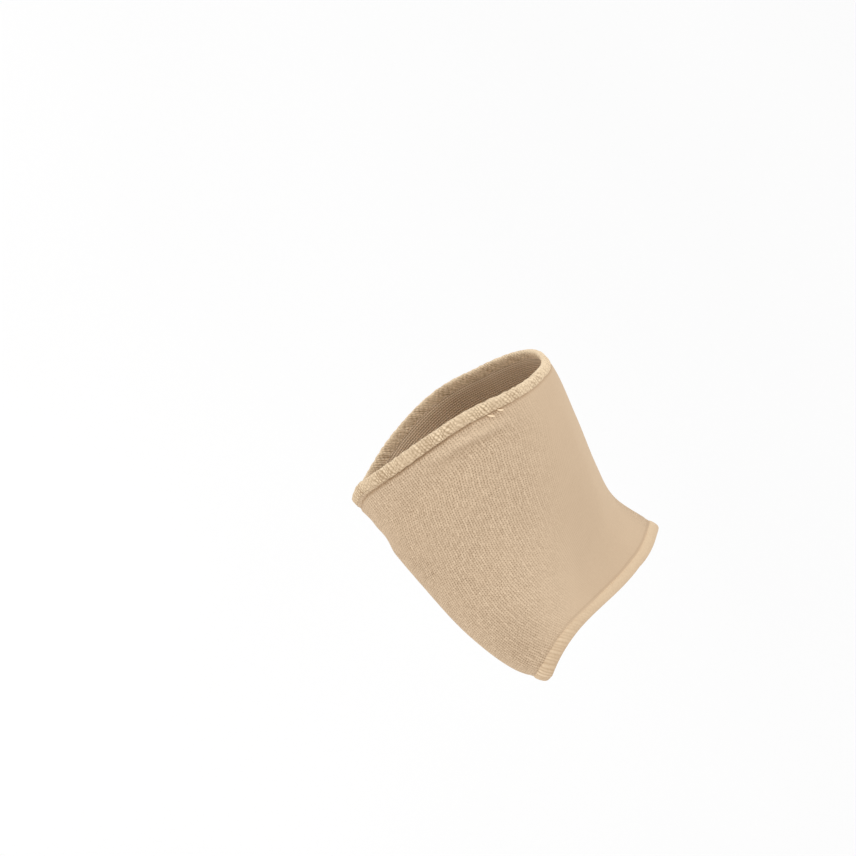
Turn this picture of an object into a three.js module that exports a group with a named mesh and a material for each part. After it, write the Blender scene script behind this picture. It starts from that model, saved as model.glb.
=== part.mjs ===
// A metatarsal support band: a tube of elastic knit with a rolled hem at each end, in the form that it
// takes when it is worn stretched. Millimetres.
// +X points out of the toe end, +Y to the medial side and +Z up. The origin lies on the inside of the
// sole side, midway between the hems.

import * as THREE from 'three';

// Cloth and hems
const WALL = 1.6;
const ANKLE_HEM = { width: 4.9, thickness: 2.4 };
const TOE_HEM = { width: 5.6, thickness: 2.6 };
const HEM_PROUD = 0.5;
const HEM_SQUARENESS = 2.6;
const SEAM_GAP = 0.4;

// Colour and roughness of each cloth
const KNIT_FINISH = { color: '#cdb496', roughness: 0.85, metalness: 0 };
const OVERLOCK_FINISH = { color: '#d1b590', roughness: 0.9, metalness: 0 };
const WELT_FINISH = { color: '#dfc5a4', roughness: 0.8, metalness: 0 };

// Outer surface, a row for each section across the band. The upper half of a section is elliptical and
// the lower half is squarer. lateral, medial and instep are its reach to the lateral side, to the medial
// side and upwards, ridge is where its highest line runs, and lateralHigh and medialHigh are the heights
// at which it is widest on either side.
const SECTIONS = [
  { x: -64, lateral: -33.5, medial: 32.0, instep: 84.5, ridge: 2.0, lateralHigh: 18.5, medialHigh: 25.0 },
  { x: -50, lateral: -35.6, medial: 33.0, instep: 77.5, ridge: 4.5, lateralHigh: 18.0, medialHigh: 25.0 },
  { x: -43, lateral: -36.4, medial: 33.5, instep: 74.5, ridge: 7.0, lateralHigh: 18.0, medialHigh: 24.5 },
  { x: -36, lateral: -39.3, medial: 34.5, instep: 71.5, ridge: 9.5, lateralHigh: 18.0, medialHigh: 24.0 },
  { x: -14, lateral: -42.3, medial: 36.5, instep: 58.5, ridge: 10.5, lateralHigh: 14.5, medialHigh: 21.0 },
  { x: 8, lateral: -44.7, medial: 37.0, instep: 44.0, ridge: 12.0, lateralHigh: 13.5, medialHigh: 16.0 },
  { x: 28, lateral: -42.7, medial: 39.5, instep: 31.5, ridge: 12.5, lateralHigh: 13.0, medialHigh: 13.0 },
  { x: 46, lateral: -36.5, medial: 44.0, instep: 27.3, ridge: 15.0, lateralHigh: 16.0, medialHigh: 13.5 },
  { x: 62, lateral: -35.5, medial: 47.0, instep: 27.5, ridge: 18.5, lateralHigh: 14.5, medialHigh: 15.0 },
];
const UPPER_SQUARENESS = 2.0;
const LOWER_SQUARENESS = 2.8;

// Where the two edges of the band run, a row for each eighth of the way round.
const EDGES = [
  { side: 'medial', ankle: -44.0, toe: 53.0 },
  { side: 'medial instep', ankle: -43.0, toe: 50.0 },
  { side: 'instep', ankle: -43.0, toe: 46.6 },
  { side: 'lateral instep', ankle: -56.8, toe: 36.0 },
  { side: 'lateral', ankle: -58.5, toe: 39.0 },
  { side: 'lateral sole', ankle: -52.2, toe: 44.0 },
  { side: 'sole', ankle: -49.5, toe: 51.0 },
  { side: 'medial sole', ankle: -46.5, toe: 54.0 },
];

// A soft fold and a soft dent of the knit: the middle round the band in degrees and from the ankle edge
// in millimetres, how far it reaches to either side of that, and how far it stands out.
const FOLDS = [
  { angle: 127, spread: 30, fromEdge: 9.5, halfWidth: 4.5, height: 0.8 },
  { angle: 205, spread: 36, fromEdge: 18.0, halfWidth: 6.0, height: -0.9 },
];

// Fineness of the mesh. The sleeve's rows lie closer together towards the ankle.
const AROUND = 72;
const SLEEVE_ROWS = 22;
const ROW_CROWDING = 1.3;
const HEM_SIDES = 12;
const LENGTH_STEPS = 12;
const TANGENT_STEP = 0.5;

const FULL_TURN = 2 * Math.PI;
const SOLE_ANGLE = 1.5 * Math.PI;

// Smooth curves through the rows of a table, all columns at once.
function columnsThrough(places, rows, ending) {
  const values = rows.flat();
  const curve = new THREE.CubicInterpolant(places, values, rows[0].length);
  curve.settings = { endingStart: ending, endingEnd: ending };
  return (place) => Array.from(curve.evaluate(place));
}

const sectionAt = columnsThrough(
  SECTIONS.map((row) => row.x),
  SECTIONS.map(({ x, ...columns }) => Object.values(columns)),
  THREE.ZeroCurvatureEnding,
);

const closedEdges = [...EDGES, EDGES[0]];
const edgesAt = columnsThrough(
  closedEdges.map((row, index) => (index / EDGES.length) * FULL_TURN),
  closedEdges.map((row) => [row.ankle, row.toe]),
  THREE.WrapAroundEnding,
);

// How far out a rounded square of unit size lies in a direction. A squareness of 2 gives a circle.
function rounding(across, up, squareness) {
  return (Math.abs(across) ** squareness + Math.abs(up) ** squareness) ** (-1 / squareness);
}

// A smooth swell, 1 in the middle and 0 from a distance of 1 on.
function swell(distance) {
  return Math.abs(distance) < 1 ? Math.cos((distance * Math.PI) / 2) ** 2 : 0;
}

function foldHeight(angle, fromEdge) {
  const degrees = THREE.MathUtils.radToDeg(angle);
  return FOLDS.reduce((sum, fold) => {
    const round = swell((degrees - fold.angle) / fold.spread);
    const along = swell((fromEdge - fold.fromEdge) / fold.halfWidth);
    return sum + fold.height * round * along;
  }, 0);
}

// A point of the outer surface. The angle is 0 at the medial side, a quarter turn at the instep and
// three quarters at the sole. share is 0 at the ankle edge and 1 at the toe edge.
function surfacePoint(angle, share) {
  const turned = THREE.MathUtils.euclideanModulo(angle, FULL_TURN);
  const [ankle, toe] = edgesAt(turned);
  const x = THREE.MathUtils.lerp(ankle, toe, share);
  const [lateral, medial, instep, ridge, lateralHigh, medialHigh] = sectionAt(x);
  const across = Math.cos(turned);
  const up = Math.sin(turned);
  const widest = THREE.MathUtils.lerp(lateralHigh, medialHigh, THREE.MathUtils.smoothstep(across, -1, 1));
  const scale = rounding(across, up, up >= 0 ? UPPER_SQUARENESS : LOWER_SQUARENESS);
  const lift = foldHeight(turned, x - ankle);
  const reach = lift + (across >= 0 ? medial - ridge : ridge - lateral);
  const rise = lift + (up >= 0 ? instep - widest : widest + WALL);
  return new THREE.Vector3(x, ridge + reach * across * scale, widest + rise * up * scale);
}

// Length of the surface from the ankle edge to the toe edge along one angle.
function lineLength(angle) {
  const points = Array.from({ length: LENGTH_STEPS + 1 }, (_, k) => surfacePoint(angle, k / LENGTH_STEPS));
  return points.slice(1).reduce((sum, point, k) => sum + point.distanceTo(points[k]), 0);
}

// A closed line round the outer surface. Its place lies between two insets, one measured along the
// cloth from the ankle edge and one from the toe edge.
class RoundTheBand extends THREE.Curve {
  constructor(ankleInset, toeInset, between) {
    super();
    this.ankleInset = ankleInset;
    this.toeInset = toeInset;
    this.between = between;
  }

  getPoint(t) {
    const angle = SOLE_ANGLE + t * FULL_TURN;
    const length = lineLength(angle);
    const start = this.ankleInset / length;
    const end = 1 - this.toeInset / length;
    return surfacePoint(angle, THREE.MathUtils.lerp(start, end, this.between));
  }
}

function evenRing(ankleInset, toeInset, between) {
  const points = new RoundTheBand(ankleInset, toeInset, between).getSpacedPoints(AROUND);
  return points.slice(0, AROUND);
}

// Directions at each point of a ring, from the rings on its two sides: along the band, for each
// millimetre of the spacing between those two, and square out of it.
function directions(before, ring, after, spacing) {
  return ring.map((point, j) => {
    const along = after[j].clone().sub(before[j]).divideScalar(spacing);
    const round = ring[(j + 1) % AROUND].clone().sub(ring[(j + AROUND - 1) % AROUND]);
    const out = round.cross(along).normalize();
    return { along, out };
  });
}

// One closed body from a loop of rings: each ring joins the next, and the last joins the first. Each
// four-sided patch is split along its shorter diagonal.
function closedBody(rings) {
  const points = rings.flat();
  const positions = points.flatMap((point) => point.toArray());
  const index = [];
  rings.forEach((ring, k) => {
    const nextRing = ((k + 1) % rings.length) * AROUND;
    for (let j = 0; j < AROUND; j += 1) {
      const next = (j + 1) % AROUND;
      const [a, b] = [k * AROUND + j, k * AROUND + next];
      const [c, d] = [nextRing + next, nextRing + j];
      const straight = points[a].distanceTo(points[c]) < points[b].distanceTo(points[d]);
      index.push(...(straight ? [a, b, c, a, c, d] : [a, b, d, b, c, d]));
    }
  });
  const geometry = new THREE.BufferGeometry();
  geometry.setAttribute('position', new THREE.Float32BufferAttribute(positions, 3));
  geometry.setIndex(index);
  geometry.computeVertexNormals();
  return geometry;
}

// The knit tube, from one hem to the other: outer face, toe end, inner face, ankle end.
function sleeveGeometry() {
  const ankleInset = ANKLE_HEM.width + SEAM_GAP;
  const toeInset = TOE_HEM.width + SEAM_GAP;
  const outer = [];
  for (let row = 0; row <= SLEEVE_ROWS; row += 1) {
    outer.push(evenRing(ankleInset, toeInset, (row / SLEEVE_ROWS) ** ROW_CROWDING));
  }
  const inner = outer.map((ring, row) => {
    const before = outer[Math.max(row - 1, 0)];
    const after = outer[Math.min(row + 1, SLEEVE_ROWS)];
    const frames = directions(before, ring, after, 1);
    return ring.map((point, j) => point.clone().addScaledVector(frames[j].out, -WALL));
  });
  return closedBody([...outer, ...inner.reverse()]);
}

// A hem: a flattened roll along one edge, which stands a little proud of the knit. ringAt gives the ring
// at a distance from the hem's ankle side.
function hemGeometry(hem, ringAt) {
  const middle = hem.width / 2;
  const ring = ringAt(middle);
  const before = ringAt(middle - TANGENT_STEP);
  const after = ringAt(middle + TANGENT_STEP);
  const frames = directions(before, ring, after, 2 * TANGENT_STEP);
  const sink = HEM_PROUD - hem.thickness / 2;
  const rings = [];
  for (let side = 0; side < HEM_SIDES; side += 1) {
    const turn = (side / HEM_SIDES) * FULL_TURN;
    const scale = rounding(Math.cos(turn), Math.sin(turn), HEM_SQUARENESS);
    const along = -(hem.width / 2) * Math.cos(turn) * scale;
    const out = sink + (hem.thickness / 2) * Math.sin(turn) * scale;
    rings.push(ring.map((point, j) => point.clone()
      .addScaledVector(frames[j].along, along)
      .addScaledVector(frames[j].out, out)));
  }
  return closedBody(rings);
}

const ankleHemRing = (step) => evenRing(step, 0, 0);
const toeHemRing = (step) => evenRing(0, TOE_HEM.width - step, 1);

function piece(name, geometry, finish) {
  const mesh = new THREE.Mesh(geometry, new THREE.MeshStandardMaterial(finish));
  mesh.name = name;
  return mesh;
}

const band = new THREE.Group();
band.name = 'metatarsal_support_band';
band.add(piece('knit_sleeve', sleeveGeometry(), KNIT_FINISH));
band.add(piece('ankle_hem', hemGeometry(ANKLE_HEM, ankleHemRing), OVERLOCK_FINISH));
band.add(piece('toe_hem', hemGeometry(TOE_HEM, toeHemRing), WELT_FINISH));

export default band;
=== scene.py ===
# %% [markdown]
# # A metatarsal support band
# The band is a short tube of elastic knit that is worn stretched. Its ankle end is a rolled edge bound with
# overlock thread, and its toe end is a smooth turned welt.
#
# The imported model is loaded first, as a fixed frame in metres: +X points out of the toe end, +Y to the
# medial side and +Z up. Every piece made below lies where its plain solid lies, so nothing is fitted
# afterwards.

import math

import bmesh
import bpy
import numpy as np
from mathutils import Matrix, Vector


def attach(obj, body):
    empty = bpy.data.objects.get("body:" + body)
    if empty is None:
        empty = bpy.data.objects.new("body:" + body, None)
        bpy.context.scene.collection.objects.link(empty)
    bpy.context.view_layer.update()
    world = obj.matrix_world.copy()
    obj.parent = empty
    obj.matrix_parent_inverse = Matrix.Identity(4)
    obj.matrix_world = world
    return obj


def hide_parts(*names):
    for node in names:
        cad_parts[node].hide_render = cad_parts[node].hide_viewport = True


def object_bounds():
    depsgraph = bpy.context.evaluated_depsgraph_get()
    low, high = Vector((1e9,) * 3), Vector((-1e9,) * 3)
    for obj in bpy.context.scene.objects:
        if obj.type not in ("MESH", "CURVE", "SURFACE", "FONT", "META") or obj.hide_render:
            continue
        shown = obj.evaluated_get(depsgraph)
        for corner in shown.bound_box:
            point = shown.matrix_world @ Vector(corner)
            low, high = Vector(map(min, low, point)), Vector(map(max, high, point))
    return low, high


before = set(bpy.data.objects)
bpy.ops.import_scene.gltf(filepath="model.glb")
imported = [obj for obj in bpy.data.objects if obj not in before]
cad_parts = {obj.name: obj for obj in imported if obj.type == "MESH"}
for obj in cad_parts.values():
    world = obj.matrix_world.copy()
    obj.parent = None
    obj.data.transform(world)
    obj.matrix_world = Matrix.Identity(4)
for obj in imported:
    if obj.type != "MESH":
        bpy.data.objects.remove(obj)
cad_low, cad_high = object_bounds()
print("frame nodes:", sorted(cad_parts))
print("CAD box in mm:", [round(1000 * size, 1) for size in cad_high - cad_low])

# %% [markdown]
# ## Camera
# The photograph looks down on the lateral side of the band, a little from the ankle end, and its horizon
# is tipped. A camera could be aimed with a Track To constraint, but a constraint can't roll it.
# So its three axes are worked out and written into its matrix: the first pair lies level, and the roll
# turns it about the line of sight. The aim is moved sideways until a known point of the band falls on
# its pixel, which keeps the lens shift at zero.

# %% Camera
IMAGE_SIDE = 856                  # pixels
SENSOR = 36.0                     # millimetres, Blender's default
VIEW_AZIMUTH = math.radians(-24.3)
VIEW_ELEVATION = math.radians(46.5)
VIEW_ROLL = math.radians(60.0)
VIEW_DISTANCE = 0.9               # metres
PIXELS_PER_METRE = 2900.0         # at the band
PIVOT = Vector((0.0, 0.0, 0.025))  # a point inside the band
PIVOT_PIXEL = (529.2, 515.8)       # where the photograph has it

to_camera = Vector((
    math.sin(VIEW_AZIMUTH) * math.cos(VIEW_ELEVATION),
    -math.cos(VIEW_AZIMUTH) * math.cos(VIEW_ELEVATION),
    math.sin(VIEW_ELEVATION),
))
level_right = Vector((math.cos(VIEW_AZIMUTH), math.sin(VIEW_AZIMUTH), 0.0))
roll = Matrix.Rotation(VIEW_ROLL, 3, to_camera)
view_right = roll @ level_right
view_up = roll @ to_camera.cross(level_right)

right_of_middle = (PIVOT_PIXEL[0] - IMAGE_SIDE / 2) / PIXELS_PER_METRE
below_middle = (PIVOT_PIXEL[1] - IMAGE_SIDE / 2) / PIXELS_PER_METRE
aim = PIVOT - view_right * right_of_middle + view_up * below_middle

camera_data = bpy.data.cameras.new("camera")
camera_data.sensor_width = SENSOR
camera_data.lens = SENSOR * PIXELS_PER_METRE * VIEW_DISTANCE / IMAGE_SIDE
camera = bpy.data.objects.new("camera", camera_data)
bpy.context.scene.collection.objects.link(camera)
axes = Matrix((view_right, view_up, to_camera)).transposed()
camera.matrix_world = Matrix.Translation(aim + to_camera * VIEW_DISTANCE) @ axes.to_4x4()
bpy.context.scene.camera = camera
print("lens in mm:", round(camera_data.lens, 1))

# %% [markdown]
# ## The form of the worn band
# As it is worn, the cloth is high and narrow at its ankle end and low and wide at its toe end. It could be
# sculpted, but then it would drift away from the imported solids. So the tables that the solids were lofted
# from are repeated here: sections across the band, and where its two edges run. Smooth curves through the
# rows give the form at any place.

# %% Tables of the form, in millimetres
MM = 0.001
FULL_TURN = 2 * math.pi
SOLE_ANGLE = 1.5 * math.pi
WALL = 1.6
UPPER_SQUARENESS = 2.0
LOWER_SQUARENESS = 2.8

# x, lateral reach, medial reach, instep height, ridge line, and the height of the widest place on the
# lateral and on the medial side
SECTIONS = np.array([
    (-64, -33.5, 32.0, 84.5, 2.0, 18.5, 25.0),
    (-50, -35.6, 33.0, 77.5, 4.5, 18.0, 25.0),
    (-43, -36.4, 33.5, 74.5, 7.0, 18.0, 24.5),
    (-36, -39.3, 34.5, 71.5, 9.5, 18.0, 24.0),
    (-14, -42.3, 36.5, 58.5, 10.5, 14.5, 21.0),
    (8, -44.7, 37.0, 44.0, 12.0, 13.5, 16.0),
    (28, -42.7, 39.5, 31.5, 12.5, 13.0, 13.0),
    (46, -36.5, 44.0, 27.3, 15.0, 16.0, 13.5),
    (62, -35.5, 47.0, 27.5, 18.5, 14.5, 15.0),
])

# x of the ankle edge and of the toe edge, every eighth of a turn from the medial side over the instep
EDGES = np.array([
    (-44.0, 53.0),
    (-43.0, 50.0),
    (-43.0, 46.6),
    (-56.8, 36.0),
    (-58.5, 39.0),
    (-52.2, 44.0),
    (-49.5, 51.0),
    (-46.5, 54.0),
])

# A soft fold and a soft dent below the ankle hem: middle and spread in degrees round the band, middle and
# half width in millimetres from the edge, and how far it stands out
FOLDS = (
    (127, 30, 9.5, 4.5, 0.8),
    (205, 36, 18.0, 6.0, -0.9),
)


# %% Smooth curves through the tables
def curve_through(places, rows):
    """A cubic curve through the rows of a table. At a row it has the mean slope of its two chords."""
    chords = np.diff(rows, axis=0) / np.diff(places)[:, None]
    slopes = np.vstack([chords[:1], (chords[:-1] + chords[1:]) / 2, chords[-1:]])

    def at(place):
        k = np.clip(np.searchsorted(places, place) - 1, 0, len(places) - 2)
        step = places[k + 1] - places[k]
        p = ((place - places[k]) / step)[..., None]
        step = step[..., None]
        start = (1 + 2 * p) * (1 - p) ** 2 * rows[k] + p * (1 - p) ** 2 * step * slopes[k]
        end = p * p * (3 - 2 * p) * rows[k + 1] + p * p * (p - 1) * step * slopes[k + 1]
        return start + end

    return at


section_at = curve_through(SECTIONS[:, 0], SECTIONS[:, 1:])
eighths = np.arange(-1, len(EDGES) + 2)
edges_at = curve_through(eighths * FULL_TURN / len(EDGES), EDGES[eighths % len(EDGES)])


# %% Soft bumps and roundings
def swell(distance):
    """A smooth bump: 1 in the middle and 0 from a distance of 1 on."""
    return np.where(np.abs(distance) < 1, np.cos(distance * math.pi / 2) ** 2, 0.0)


def around(place, angles):
    """A smooth bump round the band: 1 at a place's angle and 0 beyond its spread, both in degrees."""
    return swell((np.degrees(angles) % 360 - place["angle"]) / place["spread"])


def rounding(across, up, squareness):
    """How far out a rounded square of unit size lies in a direction."""
    return (np.abs(across) ** squareness + np.abs(up) ** squareness) ** (-1 / squareness)


def soft_patches(rows, degrees, from_edge):
    """The sum of some soft patches, at a place round the band and a distance from one of its edges."""
    total = 0
    for middle, spread, place, half_width, height in rows:
        total = total + height * swell((degrees - middle) / spread) * swell((from_edge - place) / half_width)
    return total


# %% Points of the outer face
def band_point(angle, share):
    """Points of the outer face. share is 0 at the ankle edge and 1 at the toe edge."""
    angle = np.mod(angle, FULL_TURN)
    ankle, toe = np.moveaxis(edges_at(angle), -1, 0)
    x = ankle + (toe - ankle) * share
    lateral, medial, instep, ridge, lateral_high, medial_high = np.moveaxis(section_at(x), -1, 0)
    across, up = np.cos(angle), np.sin(angle)
    half = (across + 1) / 2
    widest = lateral_high + (medial_high - lateral_high) * half * half * (3 - 2 * half)
    scale = rounding(across, up, np.where(up >= 0, UPPER_SQUARENESS, LOWER_SQUARENESS))
    lift = soft_patches(FOLDS, np.degrees(angle), x - ankle)
    reach = lift + np.where(across >= 0, medial - ridge, ridge - lateral)
    rise = lift + np.where(up >= 0, instep - widest, widest + WALL)
    return np.stack([x, ridge + reach * across * scale, widest + rise * up * scale], axis=-1)


corner = band_point(np.array([math.pi]), np.array([0.5]))[0]
print("middle of the lateral side in mm:", np.round(corner, 1))

# %% [markdown]
# ## Rings round the band
# Knit hangs together in loops, so its rows lie at even steps round the band and along it. A fixed angle
# doesn't give that: the corners of the sole would be stretched. Each ring is therefore measured along
# the cloth, and its points are set at even steps of that length, from the middle of the sole.

# %% Rings at even steps
RING_SAMPLES = 720             # places where a ring is measured
LENGTH_STEPS = 12              # steps in which the cloth is measured from edge to edge
GIRTH_POINTS = 360


def line_length(angle):
    """Length of the cloth from the ankle edge to the toe edge along one angle."""
    shares = np.linspace(0, 1, LENGTH_STEPS + 1)
    points = band_point(angle[..., None], shares)
    return np.linalg.norm(np.diff(points, axis=-2), axis=-1).sum(axis=-1)


sample_angles = SOLE_ANGLE + np.linspace(0, FULL_TURN, RING_SAMPLES + 1)
sample_lengths = line_length(sample_angles)


def ring(turns, ankle_inset, toe_inset, between):
    """A line round the cloth, between two insets from its edges: points, angles and millimetres from
    the ankle edge. turns says where its points lie, in shares of the way round."""
    start = ankle_inset / sample_lengths
    shares = start + (1 - toe_inset / sample_lengths - start) * between
    points = band_point(sample_angles, shares)
    steps = np.linalg.norm(np.diff(points, axis=0), axis=-1)
    passed = np.concatenate([[0], np.cumsum(steps)]) / steps.sum()
    laps = np.floor(turns)
    angles = np.interp(turns - laps, passed, sample_angles)
    lengths = np.interp(angles, sample_angles, sample_lengths)
    placed = ankle_inset + (lengths - toe_inset - ankle_inset) * between
    return band_point(angles, placed / lengths), angles, placed


def even_turns(columns):
    return np.arange(columns) / columns


def girth(points):
    return np.linalg.norm(points - np.roll(points, 1, axis=0), axis=-1).sum()


for title, between in (("ankle", 0.0), ("middle", 0.5), ("toe", 1.0)):
    print(title, "girth in mm:", round(girth(ring(even_turns(GIRTH_POINTS), 0, 0, between)[0])))


# %% [markdown]
# ## From rings to a mesh
# A tube of cloth is a flat grid that has been rolled up. `create_grid` makes that grid with its UV map,
# each of its vertices is moved to its place on a ring, and `remove_doubles` sews the first column to the
# last. The UV map keeps the flat cloth, so the patterns of the knit follow the surface later.

# %% Put a mesh into the scene
def new_object(name, bm, smooth):
    """Put a finished bmesh into the scene as an object at the origin."""
    for face in bm.faces:
        face.smooth = smooth
    mesh = bpy.data.meshes.new(name)
    bm.to_mesh(mesh)
    bm.free()
    made = bpy.data.objects.new(name, mesh)
    bpy.context.scene.collection.objects.link(made)
    return made


# %% Roll a grid up
SEW_DISTANCE = 1e-6            # metres
GRID_HALF = 0.5                # the flat grid is one wide and one high


def roll_up(name, rings, along, attributes, inner_from=None):
    """A closed body from a loop of rings, which goes round a section and comes back to its start.
    along is the second UV coordinate of each ring, and attributes are values for each ring's points.
    From the row inner_from on, the faces take the piece's second finish."""
    rows, columns = rings.shape[:2]
    bm = bmesh.new()
    uv = bm.loops.layers.uv.new("cloth")
    bmesh.ops.create_grid(bm, x_segments=columns, y_segments=rows, size=GRID_HALF, calc_uvs=True)
    layers = {key: bm.verts.layers.float.new(key) for key in attributes}
    for face in bm.faces:
        for loop in face.loops:
            flat_u, flat_v = loop[uv].uv
            loop[uv].uv = (flat_u, along[round(flat_v * rows)])
        if inner_from is not None:
            middle = face.calc_center_median().y
            face.material_index = int((middle + GRID_HALF) * rows > inner_from)
    for vert in bm.verts:
        column = round((vert.co.x + GRID_HALF) * columns) % columns
        row = round((vert.co.y + GRID_HALF) * rows) % rows
        vert.co = rings[row, column] * MM
        for key, layer in layers.items():
            vert[layer] = attributes[key][row, column]
    bmesh.ops.remove_doubles(bm, verts=bm.verts[:], dist=SEW_DISTANCE)
    bmesh.ops.recalc_face_normals(bm, faces=bm.faces[:])
    piece = new_object(name, bm, smooth=True)
    print(name, "triangles:", 2 * len(piece.data.polygons))
    return piece


# %% Directions and soft waves
def outward(points):
    """Directions square out of a grid of rings."""
    round_band = np.roll(points, -1, axis=1) - np.roll(points, 1, axis=1)
    along_band = np.gradient(points, axis=0)
    out = np.cross(round_band, along_band)
    return out / np.linalg.norm(out, axis=-1, keepdims=True)


WAVES = 6
WAVE_LAPS = (2, 9)             # waves in one way round the band: the least, and one over the most
WAVE_RUNS = (0.5, 3.0)         # waves along the band, the least and the most


def gentle_waves(turns, along, seed):
    """Soft unevenness, mostly between -1 and 1, the same each run, which closes round the band."""
    draw = np.random.default_rng(seed)
    total = 0
    for _ in range(WAVES):
        laps = draw.integers(*WAVE_LAPS)
        runs = draw.uniform(*WAVE_RUNS)
        offset = draw.uniform(0, FULL_TURN)
        total = total + np.sin(FULL_TURN * (laps * turns + runs * along) + offset)
    return total / math.sqrt(WAVES)


# %% [markdown]
# ## Knit sleeve
# The sleeve is weft-knitted: 232 columns of loops, the wales, run from hem to hem, and each is a fine
# rounded rib, with every second one a little lower. A bump map could draw the ribs, but they show at the
# outline, so they are modelled, with four columns of points to each. The loops inside a rib are finer
# than that and are left to the material. The wales slant as they leave the ankle hem and then run nearly
# straight, with a slight sway. Next to a hem the cloth is drawn down into the seam. A low crest and a
# shallow crease run along the soft fold below the ankle hem.
#
# The material needs to know where it is on the cloth, so some values are stored on the points: how taut the
# knit is, how much paler or darker it is painted, mostly as painted light and shade, how far it lies from
# each hem, and where the seam is deep, so that its painted shadow is darker.

# %% Lay the rings of the sleeve, in millimetres
ANKLE_HEM = {"width": 4.9, "thickness": 2.4}
TOE_HEM = {"width": 5.6, "thickness": 2.6}
TUCK = 1.2                     # how far the knit goes on under a hem
WALES = 232
POINTS_PER_WALE = 4
OUTER_ROWS = 80
ROW_CROWDING = 0.5             # rows lie closer by this share next to the hems
WALE_WANDER = 0.2              # in wales

# How the wales lean round the band on their way from the ankle hem to the toe hem: share of the way, and
# millimetres round for each millimetre along
WALE_LEAN = np.array([
    (0.00, -0.33),
    (0.12, -0.33),
    (0.24, 0.06),
    (0.34, 0.00),
    (0.50, -0.18),
    (0.80, -0.06),
    (1.00, 0.06),
])

columns = WALES * POINTS_PER_WALE
flat_turns = even_turns(columns)
steps = np.linspace(0, 1, OUTER_ROWS)
betweens = steps - ROW_CROWDING * np.sin(FULL_TURN * steps) / FULL_TURN
ankle_inset = ANKLE_HEM["width"] - TUCK
toe_inset = TOE_HEM["width"] - TUCK
middle_girth = girth(ring(flat_turns, 0, 0, 0.5)[0])
lean = np.interp(betweens, WALE_LEAN[:, 0], WALE_LEAN[:, 1])
drift_steps = (lean[1:] + lean[:-1]) / 2 * np.diff(betweens) * sample_lengths.mean()
drift = np.concatenate([[0], np.cumsum(drift_steps)]) / middle_girth
laid = []
for between, drifted in zip(betweens, drift):
    wander = WALE_WANDER / WALES * gentle_waves(flat_turns, between, seed=11)
    laid.append(ring(flat_turns + wander + drifted, ankle_inset, toe_inset, between))
outer = np.array([points for points, _, _ in laid])
angles = np.array([ring_angles for _, ring_angles, _ in laid])
from_ankle = np.array([placed for _, _, placed in laid])
from_toe = line_length(angles) - from_ankle
degrees = np.degrees(angles) % 360
out = outward(outer)
print("sleeve in mm from the ankle edge:", np.round([from_ankle[0].min(), from_ankle[-1].max()], 1))


# %% The fold below the ankle hem
# Degrees round the band and millimetres from the ankle edge at both ends, height and half width in
# millimetres, and how much paler the knit is painted there: a painted highlight on the crest and painted
# shade in the crease
CREST = {"start": (160, 6.4), "end": (108, 11.2), "height": 0.3, "half_width": 3.2, "tone": 0.1}
CREASE = {"start": (160, 10.0), "end": (112, 14.6), "height": -0.4, "half_width": 3.4, "tone": -0.11}


def slanting(fold):
    """A soft line from a fold's start to its end: 1 in its middle, 0 beside it and at its ends."""
    (first, low), (last, high) = fold["start"], fold["end"]
    share = (degrees - first) / (last - first)
    middle = low + (high - low) * share
    return swell(2 * share - 1) * swell((from_ankle - middle) / fold["half_width"])


crest = slanting(CREST)
crease = slanting(CREASE)
print("points on the crest and in the crease:", np.count_nonzero(crest), np.count_nonzero(crease))

# %% Where the knit is taut
INSTEP_TAUT = {"angle": 76, "spread": 55}  # where the knit lies smoothest
TOE_TAUT = {"angle": 92, "spread": 81}     # the same at the toe end
TAUT_RISE = 1.6                # over 1, so that the smoothest stretch is a wide one
SOLE_TAUT = {"angle": 222, "spread": 62, "most": 0.45}
FOLD_TAUT = 0.35               # how far the knit is drawn smooth over the fold

by_toe = betweens[:, None] ** 2
taut_middle = INSTEP_TAUT["angle"] * (1 - by_toe) + TOE_TAUT["angle"] * by_toe
taut_spread = INSTEP_TAUT["spread"] * (1 - by_toe) + TOE_TAUT["spread"] * by_toe
instep_taut = np.minimum(1, TAUT_RISE * swell((degrees - taut_middle) / taut_spread))
sole_taut = SOLE_TAUT["most"] * around(SOLE_TAUT, angles)
fold_taut = FOLD_TAUT * np.maximum(crest, crease)
taut = 1 - (1 - instep_taut) * (1 - sole_taut) * (1 - fold_taut)
print("mean tautness:", round(float(taut.mean()), 2))

# %% Relief of the ribs, the fold and the seams, in millimetres
RIB_HEIGHT = 0.08
SECOND_RIB = 0.7               # height of every second rib, as a share
TAUT_RIB = 0.3                 # what is left of the ribs where the knit is taut
UNEVENNESS = 0.1
SEAM_BASE = 0.35               # depth of the seam all round the ankle hem
SEAM_DEEP = {"angle": 155, "spread": 70, "depth": 0.6}
SEAM_HALF_WIDTH = 1.3
WELT_SEAM = {"depth": 0.12, "half_width": 1.4}
WELT_GROOVE = {"from_hem": 1.3, "depth": 0.15, "half_width": 0.9}

wale, place_in_wale = np.divmod(np.arange(columns), POINTS_PER_WALE)
rib_share = np.where(wale % 2, SECOND_RIB, 1.0)
rib = RIB_HEIGHT * (rib_share * np.sin(math.pi * place_in_wale / POINTS_PER_WALE) - 1)
relief = rib * (1 - (1 - TAUT_RIB) * taut)
relief += UNEVENNESS * gentle_waves(flat_turns[None, :], betweens[:, None], seed=5)
deep = around(SEAM_DEEP, angles)
seam_line = swell((from_ankle - ANKLE_HEM["width"]) / SEAM_HALF_WIDTH)
relief -= (SEAM_BASE + SEAM_DEEP["depth"] * deep) * seam_line
relief -= WELT_SEAM["depth"] * swell((from_toe - TOE_HEM["width"]) / WELT_SEAM["half_width"])
groove_place = TOE_HEM["width"] + WELT_GROOVE["from_hem"]
relief -= WELT_GROOVE["depth"] * swell((from_toe - groove_place) / WELT_GROOVE["half_width"])
relief += CREST["height"] * crest + CREASE["height"] * crease
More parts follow.
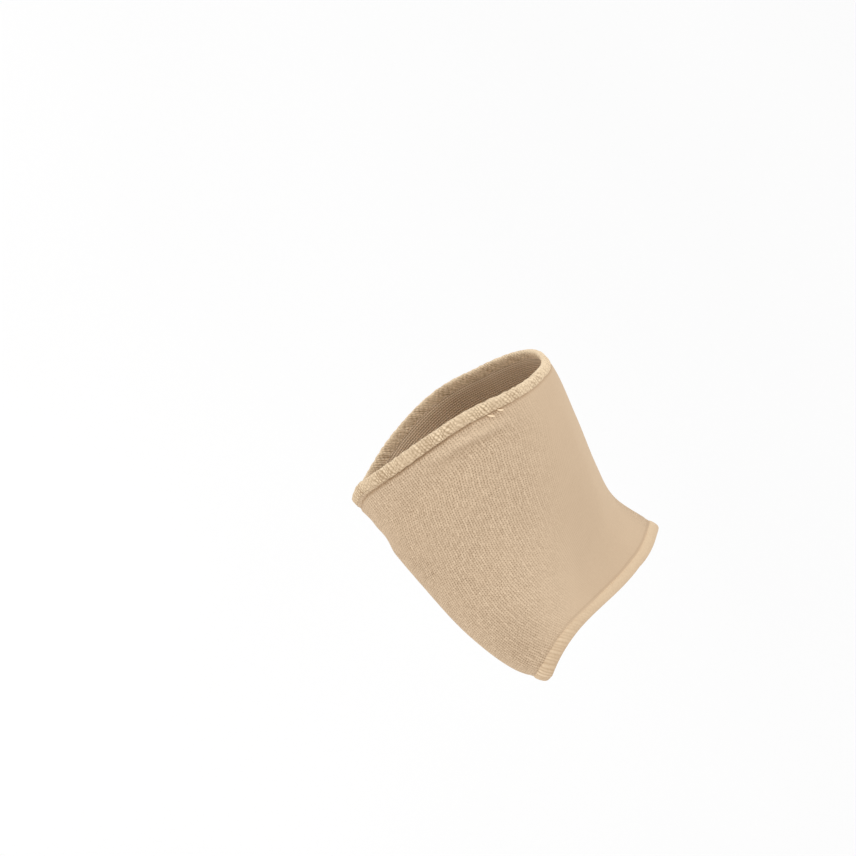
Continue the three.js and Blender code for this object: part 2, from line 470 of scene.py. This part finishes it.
print("relief in mm, from and to:", np.round([relief.min(), relief.max()], 2))

# %% Painted light and shade
# Painted light and shade, as they fall on the worn form: middle and spread in degrees round the band, middle
# and half width in millimetres from the toe edge, and how much paler
PAINTED_LIGHT_AND_SHADE = (
    (101, 23, 42, 60, -0.055),
    (138, 28, 24, 45, 0.065),
    (178, 30, 68, 40, -0.03),
    (166, 34, 17, 17, -0.06),
)
# Paler on the instep side: partly because the knit is stretched, partly painted light on the lit side
STRETCH_AND_LIGHT_TONE = 0.05            # how much paler the taut knit on the instep side is

tone = STRETCH_AND_LIGHT_TONE * instep_taut + soft_patches(PAINTED_LIGHT_AND_SHADE, degrees, from_toe)
# A painted highlight along the crest and painted shade in the crease
tone += CREST["tone"] * crest + CREASE["tone"] * crease
print("change of tone, from and to:", np.round([tone.min(), tone.max()], 2))

# %% Knit sleeve
INNER_ROWS = 18

inner_picks = np.linspace(OUTER_ROWS - 1, 0, INNER_ROWS).round().astype(int)
inner = outer[inner_picks] - WALL * out[inner_picks]
rings = np.concatenate([outer + relief[..., None] * out, inner])
along = np.concatenate([betweens, betweens[inner_picks], betweens[:1]])
marks = {
    "taut": taut,
    "tone": tone,
    "seam": deep,
    "from_hem": from_ankle - ANKLE_HEM["width"],
    "from_welt": from_toe - TOE_HEM["width"],
}
marks = {key: np.concatenate([rows, rows[inner_picks]]) for key, rows in marks.items()}
knit_sleeve = roll_up("sleeve_knit", rings, along, marks, inner_from=OUTER_ROWS)


# %% [markdown]
# ## Hems
# Each hem is the edge of the cloth turned in on itself, a flattened roll that stands a little proud of
# the knit. At the ankle end an overlock thread is wound slantwise round it. Its wraps, some slack and some
# tight, are crossed by other threads and so break up into small loops, and the roll swells between the
# stitches that pull it in. At the toe end the roll is smooth, and only its lateral side has fine gathers
# next to the knit. A curve with a bevel would give a plain tube of one section. A rolled-up grid lets each
# wrap follow a screw line round the roll.

# %% A hem roll, in millimetres
HEM_PROUD = 0.5
HEM_SQUARENESS = 2.6
HEM_TANGENT_STEP = 0.5
RIDGE_HEIGHTS = (0.6, 1.1)     # the lowest and the highest thread or gather, as shares
RIDGE_MEAN = 0.5


def hem_rings(hem, sides, turns, ring_at, swelling, sunk_at=None):
    """The rings of a hem's roll. ring_at gives the ring at a distance from the hem's ankle side, and
    swelling how far its surface is lifted at each side and column. sunk_at gives how far the whole
    roll is let into the knit at an angle."""
    middle = hem["width"] / 2
    points, ring_angles, _ = ring_at(turns, middle)
    before = ring_at(turns, middle - HEM_TANGENT_STEP)[0]
    after = ring_at(turns, middle + HEM_TANGENT_STEP)[0]
    along_band = (after - before) / (2 * HEM_TANGENT_STEP)
    out = np.cross(np.roll(points, -1, axis=0) - np.roll(points, 1, axis=0), along_band)
    out /= np.linalg.norm(out, axis=-1, keepdims=True)
    turn = np.arange(sides)[:, None] / sides * FULL_TURN
    scale = rounding(np.cos(turn), np.sin(turn), HEM_SQUARENESS)
    lift = swelling(turn / FULL_TURN, ring_angles)
    across = -(middle * scale + lift) * np.cos(turn)
    rise = HEM_PROUD - hem["thickness"] / 2 + (hem["thickness"] / 2 * scale + lift) * np.sin(turn)
    if sunk_at:
        rise = rise - sunk_at(ring_angles)
    return points + across[..., None] * along_band + rise[..., None] * out, ring_angles


def thread_ridge(phase, count, seed):
    """Round ridges side by side, from 0 in the gaps to 1 or a little more on top. Each of the count
    ridges has a height of its own."""
    heights = np.random.default_rng(seed).uniform(*RIDGE_HEIGHTS, count)
    return np.abs(np.sin(math.pi * phase)) * heights[np.floor(phase).astype(int) % count]


# %% Overlock wraps, in millimetres
WRAPS = 206
POINTS_PER_WRAP = 6
ANKLE_SIDES = 44
WRAP_SCREW = 6                 # wraps that the thread moves on in one turn round the roll
WRAP_WANDER = 0.28             # how far the wraps stray from even steps, in wraps
WRAP_HEIGHT = 0.14
LOOP_ROWS = 11                 # rows of small loops round the roll, which the crossing threads make
LOOP_SHARE = 0.55              # how far the loops break the wraps up
LOBES = 54                     # where the stitches pull the roll in
LOBE_HEIGHT = 0.26
SLACKNESS = 0.12               # slow changes in the roll's thickness
LATERAL_SINK = {"angle": 200, "spread": 42, "depth": 0.7}
STRAY_LAPS = 7                 # how often the straying of the wraps repeats round the band
TIGHTNESS = {"middle": 0.9, "swing": 0.5, "least": 0.5, "most": 1.3, "laps": 3}
LOBE_DRIFT = 2.0               # how far the lobes stray from even steps, in radians
LOBE_STRENGTH = {"middle": 0.6, "swing": 0.4}

ankle_turns = even_turns(WRAPS * POINTS_PER_WRAP)
ankle_sides = even_turns(ANKLE_SIDES)[:, None]
straying = gentle_waves(STRAY_LAPS * ankle_turns, 0.0, seed=29)


def wrap_relief(section_turn):
    """The overlock wraps: above 0 on a wrap, below 0 in a gap, and nearer 0 where the thread is slack.
    The loops of two neighbouring wraps lie half a step apart."""
    phase = WRAPS * ankle_turns + WRAP_SCREW * section_turn + WRAP_WANDER * straying
    swing = TIGHTNESS["swing"] * gentle_waves(TIGHTNESS["laps"] * ankle_turns, 0.0, seed=41)
    tight = np.clip(TIGHTNESS["middle"] + swing, TIGHTNESS["least"], TIGHTNESS["most"])
    loops = np.abs(np.sin(math.pi * (LOOP_ROWS * section_turn + 0.5 * np.floor(phase))))
    ridges = thread_ridge(phase, WRAPS, seed=43) * (1 - LOOP_SHARE * (1 - loops))
    return tight * (ridges - RIDGE_MEAN)


def overlock_swelling(section_turn, _):
    slow = gentle_waves(ankle_turns, 0.0, seed=23)
    lobes = np.sin(FULL_TURN * (LOBES * ankle_turns + section_turn) + LOBE_DRIFT * slow + straying)
    strength = LOBE_STRENGTH["middle"] + LOBE_STRENGTH["swing"] * slow
    wraps = WRAP_HEIGHT * (wrap_relief(section_turn) - RIDGE_MEAN)
    return wraps + LOBE_HEIGHT / 2 * (lobes - 1) * strength + SLACKNESS * slow


def lateral_sink(ring_angles):
    return LATERAL_SINK["depth"] * around(LATERAL_SINK, ring_angles)


# %% Ankle hem
rings, ring_angles = hem_rings(
    ANKLE_HEM,
    ANKLE_SIDES,
    ankle_turns,
    lambda turns, step: ring(turns, step, 0, 0),
    overlock_swelling,
    lateral_sink,
)
# Where the hem crosses the instep, which is painted paler, partly as painted light
stretched = around(INSTEP_TAUT, ring_angles)
hem_marks = {"taut": np.broadcast_to(stretched, rings.shape[:2]), "wraps": wrap_relief(ankle_sides)}
ankle_hem = roll_up("rolled_ankle_hem", rings, np.linspace(0, 1, ANKLE_SIDES + 1), hem_marks)

# %% Gathers of the toe hem, in millimetres
GATHERS = 150
POINTS_PER_GATHER = 6
TOE_SIDES = 22
GATHER_SCREW = 1
GATHER_HEIGHT = 0.3
GATHER_PLACE = {"angle": 188, "spread": 74}
GATHER_LEAST = 0.25            # what is left of a gather on the side away from the knit
GATHER_STRAY = {"laps": 6, "size": 0.5}
WELT_UNEVENNESS = 0.06

toe_turns = even_turns(GATHERS * POINTS_PER_GATHER)
toe_sides = even_turns(TOE_SIDES)[:, None]


def gathered(ring_angles):
    """How far the welt is gathered: 1 in the middle of its lateral side and 0 on the medial side."""
    return np.sqrt(around(GATHER_PLACE, ring_angles))


def gather_relief(section_turn, ring_angles):
    """The gathers of the toe hem's lateral side, strongest next to the knit: above 0 on a gather and
    below 0 between two."""
    by_knit = GATHER_LEAST + (1 - GATHER_LEAST) * np.cos(math.pi * section_turn) ** 2
    stray = GATHER_STRAY["size"] * gentle_waves(GATHER_STRAY["laps"] * toe_turns, 0.0, seed=47)
    phase = GATHERS * toe_turns + GATHER_SCREW * section_turn + stray
    return gathered(ring_angles) * by_knit * (thread_ridge(phase, GATHERS, seed=53) - RIDGE_MEAN)


def welt_swelling(section_turn, ring_angles):
    uneven = gentle_waves(toe_turns, 0.0, seed=31)
    return GATHER_HEIGHT * gather_relief(section_turn, ring_angles) + WELT_UNEVENNESS * (uneven - 1)


# %% Toe hem
rings, ring_angles = hem_rings(
    TOE_HEM,
    TOE_SIDES,
    toe_turns,
    lambda turns, step: ring(turns, 0, TOE_HEM["width"] - step, 1),
    welt_swelling,
)
hem_marks = {
    "gathers": gather_relief(toe_sides, ring_angles),
    "gathered": np.broadcast_to(gathered(ring_angles), rings.shape[:2]),
}
toe_hem = roll_up("turned_toe_hem", rings, np.linspace(0, 1, TOE_SIDES + 1), hem_marks)

# %% [markdown]
# ## Loose stitches
# Where the overlock was finished off, two short ends of its thread lie across the seam. Each is a thin
# spindle whose ends sink into the hem and the knit. A curve with a bevel would do, but a UV sphere that is
# drawn out along the stitch needs no caps and tapers by itself. `create_uvsphere` lists its faces in another
# order each run, so they are sorted by where they lie, and the mesh comes out the same every time.

# %% Loose stitches, in millimetres
STITCH_HALF_WIDTH = 0.34
STITCH_LIFT = 0.45             # height of a stitch's middle over the cloth
STITCH_ARCH = 0.4              # how far its ends lie lower
STITCH_SIDES = 10
STITCH_STEPS = 16
PROBE = 0.01                   # step for measuring directions on the cloth, in radians and in shares
SORT_WAY = Vector((1.0, 7.3, 53.1))  # a direction along which no two faces lie level

# Degrees round the band, millimetres from the ankle edge, lean to the seam in degrees, half length
LOOSE_STITCHES = (
    (121.5, 5.9, 32, 1.5),
    (117.0, 5.4, 26, 1.3),
)


def add_stitch(bm, degrees_round, from_edge, lean_degrees, half_length):
    angle = np.array([math.radians(degrees_round)])
    share = from_edge / line_length(angle)
    middle = band_point(angle, share)[0]
    round_way = Vector(band_point(angle - PROBE, share)[0] - middle).normalized()
    along_way = Vector(band_point(angle, share + PROBE)[0] - middle).normalized()
    out_way = along_way.cross(round_way).normalized()
    stitch_way = Matrix.Rotation(-math.radians(lean_degrees), 3, out_way) @ round_way
    side_way = out_way.cross(stitch_way)
    ball = bmesh.ops.create_uvsphere(bm, u_segments=STITCH_SIDES, v_segments=STITCH_STEPS, radius=1)
    for vert in ball["verts"]:
        x, y, z = vert.co
        lift = STITCH_LIFT - STITCH_ARCH * z * z
        across = STITCH_HALF_WIDTH * (x * side_way + y * out_way)
        vert.co = (Vector(middle) + z * half_length * stitch_way + across + lift * out_way) * MM


bm = bmesh.new()
for row in LOOSE_STITCHES:
    add_stitch(bm, *row)
bmesh.ops.recalc_face_normals(bm, faces=bm.faces[:])
bm.faces.sort(key=lambda face: face.calc_center_median().dot(SORT_WAY))
loose_stitches = new_object("loose_stitches", bm, smooth=True)
print("loose stitches:", len(LOOSE_STITCHES))

# %% [markdown]
# ## Floor and light
# The band keeps its worn form and is held up, so the floor lies well below it. The light is a studio's: an
# even white room that leaves hardly a shadow, a weak soft lamp on the upper right and another on the
# lower left.

# %% Floor and room, in metres
FLOOR_DROP = 0.5
FLOOR_HALF = 6.0
ROOM_LIGHT = 0.97

bm = bmesh.new()
bmesh.ops.create_grid(bm, x_segments=1, y_segments=1, size=FLOOR_HALF)
bmesh.ops.translate(bm, verts=bm.verts[:], vec=(0, 0, cad_low.z - FLOOR_DROP))
floor = new_object("floor", bm, smooth=False)

room = bpy.data.worlds.new("room")
room.use_nodes = True
room.node_tree.nodes["Background"].inputs["Color"].default_value = (1, 1, 1, 1)
room.node_tree.nodes["Background"].inputs["Strength"].default_value = ROOM_LIGHT
bpy.context.scene.world = room
bpy.context.scene.view_settings.view_transform = "Standard"
print("floor at a height of", round(cad_low.z - FLOOR_DROP, 3))

# %% Lamps, in metres
LAMP_SIZE = 0.4
LAMP_DISTANCE = 0.8

# name, watts, and how far to the right of the line of sight and above it
LAMPS = (
    ("key", 0.7, 0.45, 0.9),
    ("fill", 0.6, -1.6, -1.2),
)
for name, watts, to_right, to_top in LAMPS:
    lamp_data = bpy.data.lights.new(name, "AREA")
    lamp_data.energy = watts
    lamp_data.size = LAMP_SIZE
    lamp = bpy.data.objects.new(name, lamp_data)
    bpy.context.scene.collection.objects.link(lamp)
    lamp_way = (to_camera + view_right * to_right + view_up * to_top).normalized()
    lamp.location = PIVOT + lamp_way * LAMP_DISTANCE
    lamp.rotation_euler = lamp_way.to_track_quat("Z", "Y").to_euler()
    print(name, "lamp at", [round(place, 2) for place in lamp.location])

# %% [markdown]
# ## Shader sums in Python
# A knit pattern is arithmetic on the UV map, and as a node graph that is hard to read. Here a small class
# wraps a node's output, so that `1 - mask * 0.5` adds the two Math nodes that it needs. Every other node
# comes from one method, which sets the node's options before its inputs.


# %% Wires
class Wire:
    """A node's output in a material. Each operator adds one Math node."""

    def __init__(self, paint, socket):
        self.paint = paint
        self.socket = socket

    def add_math(self, operation, *values):
        return self.paint.node("ShaderNodeMath", {"operation": operation}, dict(enumerate(values)))

    def __add__(self, other):
        return self.add_math("ADD", self, other)

    def __sub__(self, other):
        return self.add_math("SUBTRACT", self, other)

    def __rsub__(self, other):
        return self.add_math("SUBTRACT", other, self)

    def __mul__(self, other):
        return self.add_math("MULTIPLY", self, other)

    def __pow__(self, other):
        return self.add_math("POWER", self, other)

    __radd__ = __add__
    __rmul__ = __mul__

    def fraction(self):
        return self.add_math("FRACT", self)

    def whole(self):
        return self.add_math("FLOOR", self)

    def size(self):
        return self.add_math("ABSOLUTE", self)

    def sine(self):
        return self.add_math("SINE", self)


# %% Paints
class Paint:
    """A material under construction, with its shader."""

    def __init__(self, name, constants):
        self.material = bpy.data.materials.new(name)
        self.material.use_nodes = True
        self.tree = self.material.node_tree
        self.shader = self.tree.nodes["Principled BSDF"]
        self.set_inputs(self.shader, constants)

    def set_inputs(self, node, inputs):
        for key, value in inputs.items():
            if isinstance(value, Wire):
                self.tree.links.new(value.socket, node.inputs[key])
            else:
                node.inputs[key].default_value = value

    def node(self, kind, settings=None, inputs=None, output=0):
        made = self.tree.nodes.new(kind)
        for key, value in (settings or {}).items():
            setattr(made, key, value)
        self.set_inputs(made, inputs or {})
        if isinstance(output, tuple):
            return [Wire(self, made.outputs[key]) for key in output]
        return Wire(self, made.outputs[output])

    def flat_cloth(self):
        """The two coordinates of the UV map: round the band, and along it or round the roll."""
        flat = self.node("ShaderNodeUVMap", {"uv_map": "cloth"})
        return self.node("ShaderNodeSeparateXYZ", None, {0: flat}, (0, 1))

    def noise(self, scale, detail=2.0):
        place = self.node("ShaderNodeTexCoord", output="Object")
        inputs = {"Vector": place, "Scale": scale, "Detail": detail}
        return self.node("ShaderNodeTexNoise", None, inputs, "Fac")

    def mark(self, name):
        """A value that was stored on the piece's points."""
        return self.node("ShaderNodeAttribute", {"attribute_name": name}, output="Fac")

    def chance(self, first, second):
        """A fixed random number for each pair of whole numbers."""
        cell = self.node("ShaderNodeCombineXYZ", None, {0: first, 1: second})
        return self.node("ShaderNodeTexWhiteNoise", {"noise_dimensions": "2D"}, {"Vector": cell}, "Value")

    def blend(self, factor, shade, light):
        settings = {"data_type": "RGBA", "clamp_factor": True}
        return self.node("ShaderNodeMix", settings, {0: factor, 6: shade, 7: light}, 2)

    def finish(self, colour, raised, roughness, height, depth):
        """Link the colour, a roughness that falls where the yarn is raised, and a bump of the height."""
        base, less_when_raised = roughness
        self.set_inputs(self.shader, {
            "Base Color": colour,
            "Roughness": base - raised * less_when_raised,
            "Normal": self.node("ShaderNodeBump", None, {"Height": height, "Distance": depth}),
        })
        return self.material


# %% Colours and cloth
def linear(red, green, blue):
    """A colour as a screen shows it, 0 to 255, in Blender's linear values."""
    parts = [channel / 255 for channel in (red, green, blue)]
    parts = [c / 12.92 if c <= 0.04045 else ((c + 0.055) / 1.055) ** 2.4 for c in parts]
    return (*parts, 1.0)


CLOTH = {
    "Sheen Weight": 0.14,
    "Sheen Roughness": 0.5,
    "Sheen Tint": linear(255, 236, 206),
    "Specular IOR Level": 0.2,
    "IOR": 1.45,
}
print("a warm beige in linear values:", [round(part, 3) for part in linear(205, 180, 150)])

# %% [markdown]
# ## Knit finish
# Each loop of the knit shows as a V: two legs that lean together in the middle of the wale. The pattern
# is drawn on the UV map, where a wale has a width of one and a course a height of one. Distance from the
# wale's middle pushes the course up, which bends straight rows into Vs. The gaps between rows are shallow,
# and where two gaps cross there is a small deep hole. The same height feeds the bump and the colour, so
# gaps and holes are darker, as they are where little light gets in. Worked out like this, the knit would
# be as even as a printed grid. So noise lets the wales and courses stray a little, and a finer noise gives
# the yarn its grain. Where the cloth is taut, most of this pattern is pulled flat.

# %% Sizes and tones of the knit
COURSES = 104
LEAN = 0.55                    # how far a leg climbs from the middle of the wale to its edge
WALE_STRAY = 1.2               # how far the wales stray, in wales
COURSE_WANDER = 1.6            # how far the courses stray, in courses
KNIT_SHADE = linear(124, 92, 60)
KNIT_LIGHT = linear(246, 220, 188)
# The colour of the painted shadow in the seam under the ankle hem and beside the welt
SEAM_SHADOW_COLOUR = linear(158, 128, 97)
LOOP_DEPTH = 0.0002            # metres
KNIT_ROUGHNESS = (0.92, 0.12)
TAUT_CONTRAST = 0.12           # what is left of the pattern where the knit is taut
LOOP_GAPS = {"wale": 0.22, "course": 0.22, "hole": 0.56}
KNIT_TONE = {
    "middle": 0.545,
    "loops": 0.56,
    "pairs": 0.04,
    "spread": 0.12,
    "grain": 0.6,
    "mottle": 0.05,
}
# A squared distance from -1 to 1 has a mean of a third
MEAN_HEIGHT = 1 - (LOOP_GAPS["wale"] + LOOP_GAPS["course"]) / 3 - LOOP_GAPS["hole"] / 9
SEAM_LINE = {"middle": 0.3, "half_width": 0.75, "least": 0.3, "ragged": 0.4}
WELT_LINE = {"middle": 0.5, "half_width": 0.7, "strength": 0.24}
PATCH_CONTRAST = {"least": 0.6, "more": 0.8}

# Noise, in steps to the metre
KNIT_NOISE = {"wales": 420, "courses": 260, "grain": 1700, "mottle": 90, "patches": 140, "seam": 700}


# %% Face of the knit
def thin_line(distance, line):
    """1 in the middle of a line that runs at a distance from a hem, and 0 or less outside it."""
    return 1 - (distance - line["middle"]).size() * (1 / line["half_width"])


def knit_face():
    paint = Paint("beige_knit", CLOTH)
    u, v = paint.flat_cloth()
    wale = u * WALES + (paint.noise(KNIT_NOISE["wales"]) - 0.5) * WALE_STRAY
    course = v * COURSES
    off_middle = (wale.fraction() * 2 - 1).size()
    straying = (paint.noise(KNIT_NOISE["courses"]) - 0.5) * COURSE_WANDER
    leaning = course + off_middle * LEAN + straying
    by_wale = off_middle ** 2
    by_course = (leaning.fraction() * 2 - 1) ** 2
    gaps = by_wale * LOOP_GAPS["wale"] + by_course * LOOP_GAPS["course"]
    height = 1 - gaps - by_wale * by_course * LOOP_GAPS["hole"]
    second = (wale.whole() * 0.5).fraction() * 2
    spread = paint.chance(wale.whole(), leaning.whole())
    grain = paint.noise(KNIT_NOISE["grain"])
    mottle = paint.noise(KNIT_NOISE["mottle"])
    patches = PATCH_CONTRAST["least"] + paint.noise(KNIT_NOISE["patches"]) * PATCH_CONTRAST["more"]
    taut = paint.mark("taut")
    contrast = (1 - taut * (1 - TAUT_CONTRAST)) * patches
    pattern = (height - MEAN_HEIGHT) * KNIT_TONE["loops"] - (second - 0.5) * KNIT_TONE["pairs"]
    pattern = pattern + (spread - 0.5) * KNIT_TONE["spread"] + (grain - 0.5) * KNIT_TONE["grain"]
    tone = KNIT_TONE["middle"] + pattern * contrast + (mottle - 0.5) * KNIT_TONE["mottle"]
    yarn = paint.blend(tone + paint.mark("tone"), KNIT_SHADE, KNIT_LIGHT)
    # Painted shadow along the seam under the ankle hem, darker where the seam is deep, and fainter painted
    # shadow beside the welt
    seam_depth = SEAM_LINE["least"] + paint.mark("seam") * (1 - SEAM_LINE["least"])
    ragged = paint.noise(KNIT_NOISE["seam"]) + SEAM_LINE["ragged"]
    seam = thin_line(paint.mark("from_hem"), SEAM_LINE) * seam_depth * ragged
    beside_welt = thin_line(paint.mark("from_welt"), WELT_LINE) * WELT_LINE["strength"]
    yarn = paint.blend(beside_welt, yarn, SEAM_SHADOW_COLOUR)
    colour = paint.blend(seam, yarn, SEAM_SHADOW_COLOUR)
    return paint.finish(colour, height, KNIT_ROUGHNESS, height * contrast, LOOP_DEPTH)


# %% Back of the knit
PURL = {"bend": 0.35, "narrowing": 0.4}
PURL_TONE = {"middle": 0.45, "rows": 0.7, "mottle": 0.15}
PURL_ROUGHNESS = (0.95, 0.1)


def knit_back():
    """The inside of the knit, where the loops show as rows of small purl bumps."""
    paint = Paint("beige_knit_back", CLOTH)
    u, v = paint.flat_cloth()
    wale, course = u * WALES, v * COURSES
    arch = (wale.fraction() * 2 - 1).size()
    row = ((course + arch * PURL["bend"]) * math.pi).sine().size()
    height = row * (1 - arch * PURL["narrowing"])
    mottle = paint.noise(KNIT_NOISE["mottle"])
    # Darker between the rows: painted shade where little light gets in
    tone = PURL_TONE["middle"] + (height - 0.5) * PURL_TONE["rows"] + (mottle - 0.5) * PURL_TONE["mottle"]
    colour = paint.blend(tone, KNIT_SHADE, KNIT_LIGHT)
    return paint.finish(colour, height, PURL_ROUGHNESS, height, LOOP_DEPTH)


for finish in (knit_face(), knit_back()):
    knit_sleeve.data.materials.append(finish)
    print(finish.name, "nodes:", len(finish.node_tree.nodes))

# %% [markdown]
# ## Hem finishes
# The overlock thread is a twisted yarn, so each wrap carries fine slanted lines of its own. Its roll is
# painted with a highlight along its ankle-side edge and with shade in the gaps between the wraps. The welt
# is the same knit pulled smooth and folded, paler because it is stretched, with its wales packed along it.
# Its side next to the knit is painted lighter and its toe-side edge darker, as light and shade fall on the
# roll.

# %% Overlock thread
OVERLOCK_SHADE = linear(146, 115, 82)
OVERLOCK_LIGHT = linear(250, 226, 192)
OVERLOCK_TONE = {"middle": 0.58, "edge": 0.32, "shade": 0.04, "wraps": 0.75, "fuzz": 0.9, "taut": 0.26}
OVERLOCK_BUMP = {"wraps": 0.5, "twist": 0.3, "fuzz": 0.4}
OVERLOCK_ROUGHNESS = (0.92, 0.1)
HIGHLIGHT_SHARPNESS = 8
TWIST_SLANT = 38               # twists of the yarn in one turn round the roll
THREAD_DEPTH = 0.00015         # metres
FUZZ_NOISE = 1400              # steps to the metre


def ankle_side(v):
    """1 on the side of a hem's roll that faces the ankle end, and 0 on the side that faces the toe end."""
    return ((v + 0.25) * FULL_TURN).sine() * 0.5 + 0.5


def overlock_thread():
    paint = Paint("overlock_thread", CLOTH)
    u, v = paint.flat_cloth()
    wraps = paint.mark("wraps")
    mouth = ankle_side(v)
    twist = ((u * WRAPS * 2 + v * TWIST_SLANT) * math.pi).sine().size()
    fuzz = paint.noise(FUZZ_NOISE)
    # Painted highlight along the roll's ankle-side edge, painted shade on its toe side and in the gaps
    # between the wraps
    tone = OVERLOCK_TONE["middle"] + mouth ** HIGHLIGHT_SHARPNESS * OVERLOCK_TONE["edge"]
    tone = tone - (1 - mouth) * OVERLOCK_TONE["shade"] + wraps * OVERLOCK_TONE["wraps"]
    # Paler where the hem crosses the instep, partly painted light
    tone = tone + (fuzz - 0.5) * OVERLOCK_TONE["fuzz"] + paint.mark("taut") * OVERLOCK_TONE["taut"]
    height = wraps * OVERLOCK_BUMP["wraps"] + twist * OVERLOCK_BUMP["twist"] + fuzz * OVERLOCK_BUMP["fuzz"]
    colour = paint.blend(tone, OVERLOCK_SHADE, OVERLOCK_LIGHT)
    return paint.finish(colour, wraps, OVERLOCK_ROUGHNESS, height, THREAD_DEPTH)


# %% Loose thread
LOOSE_TONE = {"least": 0.8, "strands": 0.4}
LOOSE_ROUGHNESS = (0.9, 0.1)
STRAND_NOISE = 1500            # steps to the metre


def loose_thread():
    paint = Paint("loose_thread", CLOTH)
    strands = paint.noise(STRAND_NOISE)
    tone = strands * LOOSE_TONE["strands"] + LOOSE_TONE["least"]
    colour = paint.blend(tone, OVERLOCK_SHADE, OVERLOCK_LIGHT)
    return paint.finish(colour, strands, LOOSE_ROUGHNESS, strands, THREAD_DEPTH)


# %% Smooth welt
WELT_SHADE = linear(174, 142, 109)
WELT_LIGHT = linear(236, 212, 180)
WELT_TONE = {
    "middle": 0.55,
    "knit_side": 0.24,
    "gathered": 0.2,
    "gathers": 0.75,
    "fine": 0.08,
    "fuzz": 0.35,
}
WELT_BUMP = {"fine": 0.2, "gathers": 0.5}
WELT_ROUGHNESS = (0.84, 0.06)


def smooth_welt():
    paint = Paint("smooth_welt", CLOTH)
    u, v = paint.flat_cloth()
    gathers = paint.mark("gathers")
    fine = ((u * WALES * 2) * math.pi).sine().size()
    fuzz = paint.noise(FUZZ_NOISE)
    # Painted light on the roll's side next to the knit, painted shade between the gathers, and darker
    # towards the lateral side
    tone = WELT_TONE["middle"] + ankle_side(v) * WELT_TONE["knit_side"] + gathers * WELT_TONE["gathers"]
    tone = tone + (fine - 0.5) * WELT_TONE["fine"] + (fuzz - 0.5) * WELT_TONE["fuzz"]
    tone = tone - paint.mark("gathered") * WELT_TONE["gathered"]
    height = fine * WELT_BUMP["fine"] + gathers * WELT_BUMP["gathers"]
    colour = paint.blend(tone, WELT_SHADE, WELT_LIGHT)
    return paint.finish(colour, gathers, WELT_ROUGHNESS, height, THREAD_DEPTH)


# %% Give the hems and stitches their finishes
for piece, finish in (
    (ankle_hem, overlock_thread()),
    (loose_stitches, loose_thread()),
    (toe_hem, smooth_welt()),
):
    piece.data.materials.append(finish)
    print(finish.name, "nodes:", len(finish.node_tree.nodes))

# %% [markdown]
# ## Floor finish
# The floor is matt and pale, with the faintest unevenness.

# %% Floor finish
FLOOR_SHADE = (0.97, 0.97, 0.97, 1.0)
FLOOR_LIGHT = (1.0, 1.0, 1.0, 1.0)
FLOOR_NOISE = 3                # steps to the metre
floor_paint = Paint("pale_floor", {"Roughness": 0.9, "Specular IOR Level": 0.1})
floor_tone = floor_paint.blend(floor_paint.noise(FLOOR_NOISE), FLOOR_SHADE, FLOOR_LIGHT)
floor_paint.set_inputs(floor_paint.shader, {"Base Color": floor_tone})
floor.data.materials.append(floor_paint.material)

# %% [markdown]
# ## Tie the pieces to the frame
# Each piece stands for a plain solid of the imported model and moves with the only body.

# %% Tie the pieces to the frame
for piece, node, slot in (
    (knit_sleeve, "knit_sleeve", "knit"),
    (ankle_hem, "ankle_hem", "overlock"),
    (toe_hem, "toe_hem", "welt"),
):
    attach(piece, "root")
    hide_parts(node)
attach(loose_stitches, "root")
